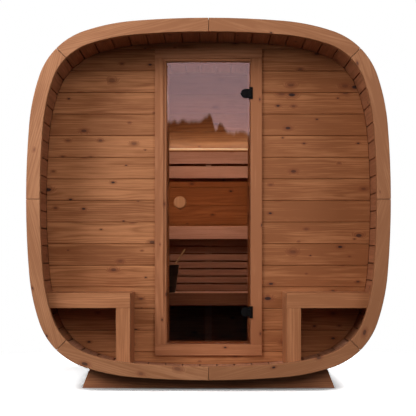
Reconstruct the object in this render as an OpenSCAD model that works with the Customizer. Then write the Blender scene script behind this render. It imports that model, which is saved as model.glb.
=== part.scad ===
// Outdoor sauna: a rounded square barrel of wooden staves between two wooden hoops, with a porch,
// two corner seats, a hinged glass door and two benches inside.
// Millimetres, Z up. The origin is the middle of the footprint, on the ground. The door faces -Y.

/* [Body outline] */
// Width across the hoops
body_w = 2060; // [1900:10:2200]
// Height of the hoops, from lowest to highest point
body_h = 2048; // [1900:2:2060]
// Height of the hoops' lowest point above the ground
ground_gap = 57; // [50:1:120]
// Length from the front of the front hoop to the back of the rear hoop
body_l = 1680; // [1620:10:2400]
// Outer radius of the tight corners
corner_r = 403; // [380:1:430]
// Outer radius of the shoulders beside each corner
shoulder_r = 1175; // [1100:5:1250]
// Half angle of each nearly flat side
flat_angle = 4.74; // [4:0.01:5.5]
// Angle at which a shoulder turns into a corner
corner_angle = 18.6; // [17:0.1:20]

/* [Hoops and staves] */
// Width of the hoop's face
hoop_face = 78; // [70:1:90]
// Depth of the hoop, front to back
hoop_t = 42; // [30:1:50]
// Open joint between two pieces of a hoop
hoop_joint = 1; // [0.4:0.1:2]
// How far the staves lie inside the hoop's outer edge
stave_inset = 2; // [2:1:10]
// Thickness of a stave
stave_t = 42; // [36:1:45]
// Number of staves round each quarter of the body
staves_a_quarter = 17; // [15:1:19]
// Open joint between two staves
stave_joint = 0.6; // [0.4:0.1:2]
// Width of a steel tension band
band_w = 25; // [20:1:40]
// Thickness of a steel tension band
band_t = 1.2; // [0.8:0.1:1.5]

/* [End walls] */
// Depth of the porch, from the front of the hoop to the front wall
porch_d = 480; // [400:10:600]
// Distance from the back wall's outer face to the back of the rear hoop
rear_recess = 66; // [50:1:90]
// Thickness of the end walls
wall_t = 42; // [36:1:50]
// Gap between an end wall and the staves round it
wall_fit = 0.5; // [0.3:0.1:1]

/* [Door] */
// Width of the door frame
frame_w = 650; // [640:1:700]
// Underside of the door frame above the ground
frame_z0 = 156; // [150:1:180]
// Top of the door frame above the ground
frame_z1 = 2021; // [1980:1:2030]
// Width of the frame's raised face
casing_w = 52; // [45:1:60]
// Width of the raised face of the frame's head
head_w = 60; // [50:1:70]
// How far the raised face stands out from the wall
casing_out = 18; // [14:1:24]
// How far the raised face overlaps the wall
casing_lap = 22; // [15:1:30]
// Width of the lower step between the raised face and the glass
step_w = 17; // [17:1:20]
// How far the step lies behind the raised face
step_in = 12; // [10:1:14]
// How far the stop behind the glass reaches inwards from the step
stop_w = 16; // [12:1:20]
// Clear gap all round the glass
glass_gap = 5; // [5:0.5:8]
// Thickness of the glass
glass_t = 8; // [6:1:10]
// Distance of a hinge's middle from the end of the glass
hinge_in = 190; // [150:5:300]
// Diameter of a door knob
knob_d = 78; // [60:1:90]
// Height of the knobs above the ground
knob_z = 1085; // [900:1:1200]
// Distance of the knobs' middle from the edge of the glass
knob_in = 78; // [60:1:100]

/* [Porch seats] */
// Height of the seats above the ground
seat_z = 546; // [480:1:600]
// Distance from the middle of the body to a seat's inner side
seat_x = 450; // [430:1:500]
// Distance from the front of the hoop to the front of the seats
seat_recess = 110; // [80:5:160]
// Height of the seats' front board
seat_rail_h = 86; // [70:1:100]
// Width of the seats' front post
seat_post_w = 82; // [70:1:100]

/* [Inside] */
// Height of the upper bench above the ground
upper_z = 960; // [900:1:1000]
// Distance from the front wall's outer face to the upper bench
upper_y = 611; // [560:1:650]
// Height of the lower bench above the ground
lower_z = 527; // [480:1:560]
// Distance from the front wall's outer face to the lower bench
lower_y = 250; // [200:1:300]
// Height of the upper bench's front board
upper_rail_h = 87; // [70:1:100]
// Height of the lower bench's front board
lower_rail_h = 78; // [70:1:100]
// Thickness of boards in seats and benches
board_t = 28; // [20:1:32]
// Height of one slat in the screen between the benches
skirt_slat_h = 41; // [35:1:45]
// Step from one slat of the screen to the next
skirt_pitch = 50; // [46:1:60]
// Height of a backrest board
backrest_h = 83; // [70:1:90]
// Top of the backrest above the ground
backrest_z = 1496; // [1450:1:1550]

/* [Cradles] */
// Length of a cradle on the ground
cradle_w = 1454; // [1300:2:1600]
// Thickness of a cradle, front to back
cradle_t = 45; // [40:1:90]
// Lean of a cradle's ends from upright
cradle_lean = 21; // [10:1:30]
// Distance from the end of the body to a cradle
cradle_in = 125; // [100:5:400]

/* [Hidden] */
$fn = 64;
eps = 1;                                   // how far a cutter runs past a face

// Places along Y
front_y = -body_l / 2;
rear_y = body_l / 2;
wall_y = front_y + porch_d;                // outer face of the front wall
back_y = rear_y - rear_recess - wall_t;    // inner face of the back wall
body_z = ground_gap + body_h / 2;          // middle of the body

// Arcs of the first quarter, from the side's middle up to the top's middle: [start, end, radius]
half_w = body_w / 2;
half_h = body_h / 2;
flat_r = (half_h
          - shoulder_r * (sin(corner_angle) - sin(flat_angle) + cos(flat_angle) - cos(corner_angle))
          - corner_r * (cos(corner_angle) - sin(corner_angle)))
         / (sin(flat_angle) + 1 - cos(flat_angle));
ARCS = [
    [0, flat_angle, flat_r],
    [flat_angle, corner_angle, shoulder_r],
    [corner_angle, 90 - corner_angle, corner_r],
    [90 - corner_angle, 90 - flat_angle, shoulder_r],
    [90 - flat_angle, 90, flat_r]
];
function arc_length(arc) = (arc[1] - arc[0]) * arc[2] * PI / 180;
function sum(list, i = 0) = i < len(list) ? list[i] + sum(list, i + 1) : 0;
quarter_length = sum([for (arc = ARCS) arc_length(arc)]) + half_w - half_h;
stave_pitch = quarter_length / staves_a_quarter;
stave_count = 4 * staves_a_quarter;

// Point of the outline whose normal stands at an angle of 0 to 90 degrees, moved inwards by inset
function quarter_point(angle, inset) = [
    half_w - inset * cos(angle)
        - sum([for (arc = ARCS) arc[2] * (cos(min(angle, arc[0])) - cos(min(angle, arc[1])))]),
    -inset * sin(angle)
        + sum([for (arc = ARCS) arc[2] * (sin(min(angle, arc[1])) - sin(min(angle, arc[0])))])
];
// The same for any angle round the body
function outline_point(angle, inset) =
    let (turn = angle % 180,
         p = quarter_point(turn <= 90 ? turn : 180 - turn, inset))
    [angle > 90 && angle < 270 ? -p[0] : p[0], angle > 180 ? -p[1] : p[1]];

// Angle of the normal at a length along the first quarter
function angle_at(length, i = 0) =
    length <= arc_length(ARCS[i])
        ? ARCS[i][0] + length / ARCS[i][2] * 180 / PI
        : angle_at(length - arc_length(ARCS[i]), i + 1);
// Angle of the joint that ends stave k, with stave 0 at the middle of the right side
function joint_angle(k) =
    let (i = k % staves_a_quarter,
         quarter = floor(k / staves_a_quarter),
         rising = angle_at((i + 0.5) * stave_pitch),
         falling = angle_at((staves_a_quarter - i - 0.5) * stave_pitch))
    [rising, 180 - falling, 180 + rising, 360 - falling][quarter];

// Outline through every stave joint, in X and Z about the middle of the body
function stave_ring(inset) = [for (k = [0 : stave_count - 1]) outline_point(joint_angle(k), inset)];

stave_inner = stave_inset + stave_t;

// ---- helpers -------------------------------------------------------------------------------

// Extrudes a shape drawn in X and Z from y0 to y1
module along_y(y0, y1) {
    translate([0, y1, 0]) rotate([90, 0, 0]) linear_extrude(y1 - y0) children();
}
module block(low, high) {
    translate(low) cube(high - low);
}
// Everything inside the staves, from y0 to y1, moved inwards by fit
module inside(y0, y1, fit) {
    translate([0, 0, body_z]) along_y(y0, y1) polygon(stave_ring(stave_inner + fit));
}
module both_sides() {
    children();
    mirror([1, 0, 0]) children();
}

// ---- staves --------------------------------------------------------------------------------

module stave(k) {
    before = joint_angle((k + stave_count - 1) % stave_count);
    after = joint_angle(k % stave_count);
    function moved(angle, inset, along) =
        outline_point(angle, inset) + along * [-sin(angle), cos(angle)];
    color("sienna") translate([0, 0, body_z]) along_y(front_y + hoop_t, rear_y - hoop_t)
        polygon([
            moved(before, stave_inset, stave_joint / 2),
            moved(after, stave_inset, -stave_joint / 2),
            moved(after, stave_inner, -stave_joint / 2),
            moved(before, stave_inner, stave_joint / 2)
        ]);
}
// The staves of one side: quarter 0 is the right side, 1 the roof, 2 the left side, 3 the floor
module side_staves(quarter) {
    first = quarter * staves_a_quarter - floor(staves_a_quarter / 2);
    for (i = [0 : staves_a_quarter - 1]) stave((first + i + stave_count) % stave_count);
}

// ---- hoops ---------------------------------------------------------------------------------

// Angles from the middle of a side to the middle of the corner, close enough to look round
EIGHTH = concat(
    [for (i = [0 : 3]) flat_angle * i / 4],
    [for (i = [0 : 6]) flat_angle + (corner_angle - flat_angle) * i / 7],
    [for (i = [0 : 13]) corner_angle + (45 - corner_angle) * i / 13]
);
// One of the eight pieces, before it is mirrored into place: the upper right side piece, or the
// right half of the top piece
module hoop_piece(top) {
    cut = hoop_joint / 2;
    angles = top ? [for (i = [len(EIGHTH) - 1 : -1 : 0]) 90 - EIGHTH[i]] : EIGHTH;
    function band(inset) = [for (angle = angles) quarter_point(angle, inset)];
    outer = top ? concat(band(0), [[0, half_h]]) : band(0);
    inner = top ? concat(band(hoop_face), [[0, half_h - hoop_face]]) : band(hoop_face);
    corner = quarter_point(45, 0);
    color("peru") difference() {
        along_y(0, hoop_t)
            polygon(concat(outer, [for (i = [len(inner) - 1 : -1 : 0]) inner[i]]));
        // half of each open joint: square to the middle of the side, and along the corner's normal
        if (top) block([-eps, -eps, 0], [cut, hoop_t + eps, half_h + eps]);
        else block([0, -eps, -eps], [half_w + eps, hoop_t + eps, cut]);
        translate([corner[0], 0, corner[1]]) rotate([0, -45, 0])
            block([-2 * hoop_face, -eps, -cut], [hoop_face, hoop_t + eps, cut]);
    }
}
module hoop_side(y0) {
    translate([0, y0, body_z]) {
        hoop_piece(false);
        mirror([0, 0, 1]) hoop_piece(false);
    }
}
module hoop_top(y0) {
    translate([0, y0, body_z]) both_sides() hoop_piece(true);
}
module hoop_bottom(y0) {
    translate([0, y0, body_z]) mirror([0, 0, 1]) both_sides() hoop_piece(true);
}
module rear_hoop() {
    hoop_top(rear_y - hoop_t);
    hoop_bottom(rear_y - hoop_t);
    both_sides() hoop_side(rear_y - hoop_t);
}

// ---- steel bands ---------------------------------------------------------------------------

band_places = [front_y + hoop_t + 40, rear_y - hoop_t - 40 - band_w];
module tension_bands() {
    color("silver") for (y0 = band_places) translate([0, 0, body_z]) along_y(y0, y0 + band_w)
        difference() {
            polygon(stave_ring(stave_inset - band_t - 0.3));
            polygon(stave_ring(stave_inset - 0.3));
        }
}

// ---- end walls -----------------------------------------------------------------------------

opening_x = frame_w / 2 - casing_lap + wall_fit;
opening_z0 = frame_z0 + casing_lap - wall_fit;
opening_z1 = frame_z1 - casing_lap + wall_fit;
inner_z0 = ground_gap;                     // below and above the whole inside
inner_z1 = ground_gap + body_h;

module front_wall(x0, x1, z0, z1) {
    color("sienna") intersection() {
        inside(wall_y, wall_y + wall_t, wall_fit);
        block([x0, wall_y - eps, z0], [x1, wall_y + wall_t + eps, z1]);
    }
}
module back_wall() {
    color("sienna") inside(back_y, back_y + wall_t, wall_fit);
}

// ---- door frame ----------------------------------------------------------------------------

// The frame is four pieces. Each has a raised face that laps over the wall and a stop behind the
// glass. The left jamb and the head also have a lower step beside the glass. On the right jamb, which
// carries the hinges, and on the sill, the raised face runs up to the glass.
face_x = frame_w / 2;
step_x = face_x - casing_w;                // where a stepped piece's raised face ends
rebate_x = step_x - step_w;                // where the glass's pocket starts
stop_x = rebate_x - stop_w;                // inner edge of the stop: the clear opening
glass_y = wall_y - glass_t / 2;            // outer face of the glass
face_y = wall_y - casing_out;
step_y = face_y + step_in;
stop_y = glass_y + glass_t + glass_gap;
inner_y = wall_y + wall_t;
joint_x = face_x - casing_lap;             // outer side of the part that goes through the wall

// Heights of the same lines at the sill and at the head
SILL_Z = [frame_z0, frame_z0 + casing_w, frame_z0 + casing_w + step_w, frame_z0 + casing_w + step_w + stop_w];
HEAD_Z = [frame_z1, frame_z1 - head_w, frame_z1 - head_w - step_w, frame_z1 - head_w - step_w - stop_w];

module door_sill() {
    color("peru") union() {
        block([-face_x, face_y, SILL_Z[0]], [face_x, wall_y, SILL_Z[2]]);
        block([-joint_x, face_y, SILL_Z[0] + casing_lap], [joint_x, inner_y, SILL_Z[2]]);
        block([-rebate_x, stop_y, SILL_Z[2] - eps], [rebate_x, inner_y, SILL_Z[3]]);
    }
}
module door_head() {
    color("peru") union() {
        block([-face_x, face_y, HEAD_Z[1]], [face_x, wall_y, HEAD_Z[0]]);
        block([-joint_x, face_y, HEAD_Z[1]], [joint_x, inner_y, HEAD_Z[0] - casing_lap]);
        block([-step_x, step_y, HEAD_Z[2]], [rebate_x, inner_y, HEAD_Z[1] + eps]);
        block([-rebate_x, stop_y, HEAD_Z[3]], [rebate_x, inner_y, HEAD_Z[2] + eps]);
    }
}
// Drawn on the right: raised_x is where the raised face ends
module door_jamb(raised_x) {
    color("peru") union() {
        block([raised_x, face_y, SILL_Z[2]], [face_x, wall_y, HEAD_Z[1]]);
        block([raised_x, face_y, SILL_Z[2]], [joint_x, inner_y, HEAD_Z[1]]);
        block([rebate_x, step_y, SILL_Z[2]], [raised_x + eps, inner_y, HEAD_Z[2]]);
        block([stop_x, stop_y, SILL_Z[3]], [rebate_x + eps, inner_y, HEAD_Z[3]]);
    }
}

// ---- door ----------------------------------------------------------------------------------

glass_x = rebate_x - glass_gap;
glass_z0 = SILL_Z[2] + glass_gap;
glass_z1 = HEAD_Z[2] - glass_gap;

module door_glass() {
    color([0.25, 0.15, 0.1, 0.4])
        block([-glass_x, glass_y, glass_z0], [glass_x, glass_y + glass_t, glass_z1]);
}

// Hinge: the fixed leaf is screwed to the face of the right jamb and carries the pin. The clamp
// grips the glass and turns on the pin between the leaf's two knuckles.
pin_r = 3;
pin_fit = 0.1;
knuckle_r = 6;
hinge_x = glass_x + glass_gap / 2;         // axis of the pins
hinge_y = face_y - 9;
leaf_h = 72;
leaf_t = 3;
clamp_h = 56;
clamp_t = 5;
knuckle_h = 36;                            // height of the clamp's knuckle
hinge_places = [glass_z0 + hinge_in, glass_z1 - hinge_in];

module hinge_leaf(z) {
    color("black") union() {
        block([hinge_x + 3.5, face_y - leaf_t, z - leaf_h / 2], [hinge_x + 16, face_y, z + leaf_h / 2]);
        for (end = [-1, 1]) {
            z0 = end > 0 ? z + knuckle_h / 2 + 1 : z - leaf_h / 2;
            z1 = end > 0 ? z + leaf_h / 2 : z - knuckle_h / 2 - 1;
            translate([hinge_x, hinge_y, z0]) cylinder(h = z1 - z0, r = knuckle_r);
            block([hinge_x, hinge_y - 3, z0], [hinge_x + 10, face_y - leaf_t + eps, z1]);
        }
        translate([hinge_x, hinge_y, z - leaf_h / 2]) cylinder(h = leaf_h, r = pin_r);
    }
}
module hinge_clamp(z) {
    round_x = glass_x - clamp_h / 2 + 2;   // centre of the round end
    front = glass_y - clamp_t;
    color("black") difference() {
        union() {
            block([round_x, front, z - clamp_h / 2], [glass_x, glass_y, z + clamp_h / 2]);
            translate([round_x, glass_y, z]) rotate([90, 0, 0]) cylinder(h = clamp_t, r = clamp_h / 2);
            translate([hinge_x, hinge_y, z - knuckle_h / 2]) cylinder(h = knuckle_h, r = knuckle_r);
            block([hinge_x - 13, hinge_y, z - knuckle_h / 2], [hinge_x, front + eps, z + knuckle_h / 2]);
        }
        translate([hinge_x, hinge_y, z - knuckle_h / 2 - eps])
            cylinder(h = knuckle_h + 2 * eps, r = pin_r + pin_fit);
    }
    // plate on the back of the glass, clear of the stop
    back_x = stop_x - 6;
    back_r = 20;
    color("black") translate([back_x - back_r, glass_y + glass_t + clamp_t, z])
        rotate([90, 0, 0]) cylinder(h = clamp_t, r = back_r);
}

knob_neck_r = 15;
knob_neck_l = 12;
knob_head_t = 24;
module knob() {
    edge = 5;
    color("burlywood") rotate([90, 0, 0]) rotate_extrude()
        polygon([
            [0, 0], [knob_neck_r, 0], [knob_neck_r, knob_neck_l], [knob_d / 2 - edge, knob_neck_l],
            [knob_d / 2, knob_neck_l + edge], [knob_d / 2, knob_neck_l + knob_head_t - edge],
            [knob_d / 2 - edge, knob_neck_l + knob_head_t], [0, knob_neck_l + knob_head_t]
        ]);
}
module door_knob_outside() {
    translate([-glass_x + knob_in, glass_y, knob_z]) knob();
}
module door_knob_inside() {
    translate([-glass_x + knob_in, glass_y + glass_t, knob_z]) rotate([0, 0, 180]) knob();
}

// ---- rows of boards ------------------------------------------------------------------------

// Boards that run along X and share a depth evenly, with a gap before each one
module board_row(x0, x1, y0, y1, z1, count, gap) {
    width = (y1 - y0) / count - gap;
    for (i = [0 : count - 1]) {
        start = y0 + i * (width + gap) + gap;
        intersection() {
            inside(start, start + width, 1);
            block([x0, start - eps, z1 - board_t], [x1, start + width + eps, z1]);
        }
    }
}

// ---- porch seats: the right one, mirrored for the left -------------------------------------

seat_y = front_y + seat_recess;
seat_side_t = 28;
post_t = 42;
module seat_rail() {
    color("peru") intersection() {
        inside(seat_y, seat_y + board_t, 1);
        block([seat_x, seat_y - eps, seat_z - seat_rail_h], [half_w, seat_y + board_t + eps, seat_z]);
    }
}
module seat_boards() {
    color("sienna") board_row(seat_x, half_w, seat_y + board_t, wall_y - 2, seat_z, 4, 6);
}
module seat_post() {
    color("peru") intersection() {
        inside(seat_y, seat_y + post_t, 1);
        block([seat_x, seat_y - eps, inner_z0], [seat_x + seat_post_w, seat_y + post_t + eps, seat_z - seat_rail_h]);
    }
}
module seat_supports() {
    under = seat_z - board_t;
    // closed inner side, from the front post to the wall
    color("sienna") intersection() {
        inside(seat_y + post_t, wall_y - 2, 1);
        block([seat_x, seat_y, inner_z0], [seat_x + seat_side_t, wall_y, under]);
    }
    // ledge along the side wall
    color("sienna") intersection() {
        inside(seat_y + post_t, wall_y - 2, 1);
        block([half_w - stave_inner - 75, seat_y, under - 50], [half_w, wall_y, under]);
    }
}

// ---- benches inside ------------------------------------------------------------------------

upper_front = wall_y + upper_y;
lower_front = wall_y + lower_y;
screen_y = upper_front + 54;               // front of the slatted screen
bench_x = half_w;                          // benches run from side wall to side wall

module bench_rail(y0, z1, height) {
    color("rosybrown") intersection() {
        inside(y0, y0 + board_t, 1);
        block([-bench_x, y0 - eps, z1 - height], [bench_x, y0 + board_t + eps, z1]);
    }
}
module upper_bench_boards() {
    color("rosybrown") board_row(-bench_x, bench_x, upper_front + board_t, back_y - 4, upper_z, 5, 8);
}
module lower_bench_boards() {
    color("rosybrown") board_row(-bench_x, bench_x, lower_front + board_t, screen_y - 5, lower_z, 4, 8);
}
support_places = [-850, -330, 330, 850];
module upper_bench_bearers() {
    color("rosybrown") for (x = support_places)
        block([x - board_t / 2, upper_front + board_t + 1, upper_z - upper_rail_h + 2],
              [x + board_t / 2, back_y - 1, upper_z - board_t - 0.5]);
}
module lower_bench_supports() {
    color("rosybrown") for (x = support_places) intersection() {
        inside(lower_front + board_t + 1, screen_y - 6, 1);
        block([x - board_t / 2, lower_front, inner_z0], [x + board_t / 2, screen_y, lower_z - board_t - 0.5]);
    }
}
// Slatted screen between the benches, on three uprights that reach the floor
screen_slats = 7;
slat_t = 20;
upright_w = 45;
module bench_screen() {
    top = upper_z - upper_rail_h;
    color("rosybrown") union() {
        for (i = [0 : screen_slats - 1]) {
            z1 = top - i * skirt_pitch;
            intersection() {
                inside(screen_y, screen_y + slat_t, 1);
                block([-bench_x, screen_y - eps, z1 - skirt_slat_h], [bench_x, screen_y + slat_t + eps, z1]);
            }
        }
        for (x = [-600, 0, 600]) intersection() {
            inside(screen_y + slat_t - 0.5, screen_y + slat_t + board_t, 1);
            block([x - upright_w / 2, screen_y, inner_z0],
                  [x + upright_w / 2, screen_y + slat_t + board_t + eps, top]);
        }
    }
}
// Two boards on three battens that stand off the back wall
backrest_x = 850;
backrest_gap = 18;
module backrest() {
    board_y = back_y - 2 * board_t;
    low = backrest_z - 2 * backrest_h - backrest_gap;
    color("rosybrown") union() {
        for (z0 = [low, backrest_z - backrest_h])
            block([-backrest_x, board_y, z0], [backrest_x, board_y + board_t, z0 + backrest_h]);
        for (x = [-600, 0, 600])
            block([x - 20, board_y + board_t - 0.5, low + 10], [x + 20, back_y - 0.5, backrest_z - 14]);
    }
}
module light_strip() {
    color("moccasin")
        block([-backrest_x, back_y - 16, backrest_z + 15], [backrest_x, back_y - 0.5, backrest_z + 29]);
}

// ---- bucket and ladle on the lower bench ---------------------------------------------------

bucket_at = [-304, lower_front + 130, lower_z];
bucket_h = 177;
bucket_r0 = 91;
bucket_r1 = 115;
bucket_t = 6;
module water_bucket() {
    color("black") translate(bucket_at) rotate_extrude()
        polygon([
            [0, 0], [bucket_r0, 0], [bucket_r1, bucket_h], [bucket_r1 - bucket_t, bucket_h],
            [bucket_r0 - bucket_t, bucket_t], [0, bucket_t]
        ]);
}
// The ladle stands in the bucket, with its handle leaning towards the rim
module ladle() {
    foot = bucket_at + [-6.5, -17.5, 36];  // where the handle leaves the cup's rim
    tip = bucket_at + [150, 103, 277];
    reach = tip - foot;
    turn = atan2(reach[1], reach[0]);
    cup_r = 34;
    cup_h = 34;
    cup_t = 2.5;
    color("saddlebrown") union() {
        translate(foot) rotate([0, acos(reach[2] / norm(reach)), turn]) cylinder(h = norm(reach), r = 6);
        translate([foot[0] - (cup_r - 1) * cos(turn), foot[1] - (cup_r - 1) * sin(turn), lower_z + bucket_t + 0.3])
            difference() {
                cylinder(h = cup_h, r = cup_r);
                translate([0, 0, cup_t]) cylinder(h = cup_h, r = cup_r - cup_t);
            }
    }
}

// ---- cradles -------------------------------------------------------------------------------

module cradle(y0) {
    top = 200;                             // well above the ends, before the saddle is cut
    lean = top * tan(cradle_lean);
    color("saddlebrown") difference() {
        along_y(y0, y0 + cradle_t)
            polygon([[-cradle_w / 2, 0], [cradle_w / 2, 0], [cradle_w / 2 - lean, top], [lean - cradle_w / 2, top]]);
        translate([0, 0, body_z]) along_y(y0 - eps, y0 + cradle_t + eps) polygon(stave_ring(stave_inset - 0.3));
    }
}

// ---- nodes ---------------------------------------------------------------------------------

side_staves(3);  // floor_staves
side_staves(1);  // roof_staves
side_staves(2);  // left_wall_staves
side_staves(0);  // right_wall_staves
hoop_top(front_y);  // front_hoop_top
hoop_bottom(front_y);  // front_hoop_bottom
mirror([1, 0, 0]) hoop_side(front_y);  // front_hoop_left
hoop_side(front_y);  // front_hoop_right
rear_hoop();
front_wall(-half_w, -opening_x, inner_z0, inner_z1);  // front_wall_left
front_wall(opening_x, half_w, inner_z0, inner_z1);  // front_wall_right
front_wall(-opening_x, opening_x, opening_z1, inner_z1);  // front_wall_over_door
front_wall(-opening_x, opening_x, inner_z0, opening_z0);  // front_wall_under_door
back_wall();
door_head();
door_sill();
mirror([1, 0, 0]) door_jamb(step_x);  // door_jamb_left
door_jamb(rebate_x);  // door_jamb_right
door_glass();
door_knob_outside();
door_knob_inside();
for (z = hinge_places) hinge_clamp(z);  // hinge_clamps
for (z = hinge_places) hinge_leaf(z);  // hinge_leaves
mirror([1, 0, 0]) seat_boards();  // left_seat_boards
mirror([1, 0, 0]) seat_rail();  // left_seat_rail
mirror([1, 0, 0]) seat_post();  // left_seat_post
mirror([1, 0, 0]) seat_supports();  // left_seat_supports
seat_boards();  // right_seat_boards
seat_rail();  // right_seat_rail
seat_post();  // right_seat_post
seat_supports();  // right_seat_supports
upper_bench_boards();
bench_rail(upper_front, upper_z, upper_rail_h);  // upper_bench_rail
upper_bench_bearers();
lower_bench_boards();
bench_rail(lower_front, lower_z, lower_rail_h);  // lower_bench_rail
lower_bench_supports();
bench_screen();
backrest();
light_strip();
water_bucket();
ladle();
cradle(front_y + cradle_in);  // front_cradle
cradle(rear_y - cradle_in - cradle_t);  // rear_cradle
tension_bands();
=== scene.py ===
# %% [markdown]
# # An outdoor sauna, piece by piece
# The sauna is a wooden barrel with a rounded-square outline. Long staves run from front to back
# between two wooden hoops. The front wall stands back from the front hoop, which leaves a porch
# with a small seat on each side of a glass door. Each step below explains one piece or one finish,
# then makes it. All lengths are metres, +Z is up and the front faces -Y.
#
# The construction model comes in first. It fixes every size and carries the door's hinge, so the
# pieces made here only add what a joiner would add to those plain shapes: eased edges, grooves,
# grain and finish.

# %% Load the construction model
import math
import random

import bmesh
import bpy
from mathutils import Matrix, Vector


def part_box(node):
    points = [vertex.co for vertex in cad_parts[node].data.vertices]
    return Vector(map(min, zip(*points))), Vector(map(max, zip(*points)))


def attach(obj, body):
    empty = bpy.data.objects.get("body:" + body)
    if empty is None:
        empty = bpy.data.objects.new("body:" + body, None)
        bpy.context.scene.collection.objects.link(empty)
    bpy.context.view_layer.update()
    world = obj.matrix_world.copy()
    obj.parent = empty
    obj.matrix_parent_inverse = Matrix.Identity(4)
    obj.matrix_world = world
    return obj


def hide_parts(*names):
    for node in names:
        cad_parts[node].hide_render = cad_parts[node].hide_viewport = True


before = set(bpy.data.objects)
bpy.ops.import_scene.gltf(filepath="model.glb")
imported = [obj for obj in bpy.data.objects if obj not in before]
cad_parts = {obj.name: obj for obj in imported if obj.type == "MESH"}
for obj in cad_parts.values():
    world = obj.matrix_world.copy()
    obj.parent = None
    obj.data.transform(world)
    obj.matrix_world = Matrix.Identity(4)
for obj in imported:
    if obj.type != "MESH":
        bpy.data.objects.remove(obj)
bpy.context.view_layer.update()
UP = Vector((0, 0, 1))
ACROSS = Vector((1, 0, 0))
DEEP = Vector((0, 1, 0))

# %% [markdown]
# ## The camera
# It stands level in front of the porch, at about chest height of someone sitting, and far enough
# away that the hoop looks flat. A level camera keeps upright lines upright. The picture is moved up
# with the lens shift instead of a tilt, as an architect's camera does.

# %% Place the camera
lens = bpy.data.cameras.new("porch_camera")
lens.sensor_width = 36.0
lens.lens = 93.5
lens.shift_x = -0.0011
lens.shift_y = 0.1208
lens.clip_end = 200.0
camera = bpy.data.objects.new("porch_camera", lens)
camera.location = (0.0, -6.935, 0.747)
camera.rotation_euler = (math.radians(90), 0, 0)
bpy.context.scene.collection.objects.link(camera)
bpy.context.scene.camera = camera
print("camera", tuple(round(v, 3) for v in camera.location), "lens", lens.lens)

# %% [markdown]
# ## Building materials from nodes
# Every finish here is a small network of nodes. Adding nodes one by one makes long code, so each
# of these helpers adds a node, sets its values and wires its inputs in one line. A plain value is
# set on the node's socket, and a socket is linked to it.

# %% Helpers for node networks
def add(tree, kind, inputs=None, **settings):
    made = tree.nodes.new("ShaderNode" + kind)
    for key, value in settings.items():
        setattr(made, key, value)
    for key, value in (inputs or {}).items():
        if isinstance(value, bpy.types.NodeSocket):
            tree.links.new(value, made.inputs[key])
        else:
            made.inputs[key].default_value = value
    return made


def maths(tree, operation, a, b=0.0, c=0.0):
    return add(tree, "Math", {0: a, 1: b, 2: c}, operation=operation).outputs[0]


def ramp(tree, value, start, end, first=0.0, last=1.0, smooth=False):
    """Goes from first to last while value goes from start to end."""
    return add(tree, "MapRange", {"Value": value, 1: start, 2: end, 3: first, 4: last},
               interpolation_type="SMOOTHSTEP" if smooth else "LINEAR").outputs[0]


def blend(tree, amount, first, second, how="MIX"):
    """Mixes two colours."""
    mixed = add(tree, "Mix", data_type="RGBA", blend_type=how)
    for number, value in ((0, amount), (6, first), (7, second)):
        if isinstance(value, bpy.types.NodeSocket):
            tree.links.new(value, mixed.inputs[number])
        else:
            mixed.inputs[number].default_value = value if isinstance(value, float) else (*value, 1.0)
    return mixed.outputs[2]


def either(tree, which, off, on):
    """Mixes two numbers."""
    return add(tree, "Mix", {0: which, 2: off, 3: on}, data_type="FLOAT").outputs[0]


def new_material(name):
    material = bpy.data.materials.new(name)
    material.use_nodes = True
    tree = material.node_tree
    return material, tree, tree.nodes["Principled BSDF"]


print("node helpers ready")

# %% [markdown]
# ## Heat-treated softwood
# The boards are spruce or pine cooked to an even brown. What shows is long streaks along each
# board, rings that bend into arches where the board was cut near the heart, small near-black knots
# with a reddish rim, and a slightly different tone from board to board.
#
# A flat pattern would run across joints, so the wood is solid: each board carries its own
# coordinates, made when the board is made. The first runs along the grain, and the other two are
# measured from the heart of its tree. Streaks, clouds and fibres are noise that is stretched along
# the first one, each with its own width.

# %% Noise that runs with the grain
def stretched(tree, grain, along, across, detail=3.0, rough=0.55):
    """along and across: how many patches there are in a metre, each way."""
    scaled = add(tree, "VectorMath", {0: grain, 1: (along, across, across)}, operation="MULTIPLY")
    noise = add(tree, "TexNoise", {"Vector": scaled.outputs[0], "Scale": 1.0, "Detail": detail,
                                   "Roughness": rough})
    return noise.outputs["Fac"]


print("streaks ready")

# %% [markdown]
# ### Knots
# Knots come from a Voronoi pattern on the board's wide face. Each of its cells holds one place for
# a knot and has a colour by chance. The colour's channels say whether the knot is there, how large
# it is and how dark. A knot is about twice as long as it is wide, and its rim fades into the wood.

# %% Knots
KNOT_PATCH = (0.24, 0.11)  # one knot at most in each patch of this length and width
KNOT_STRETCH = 0.125 / 0.24
KNOT_SMALLEST = 0.0030
KNOT_SPREAD = 0.0080


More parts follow.
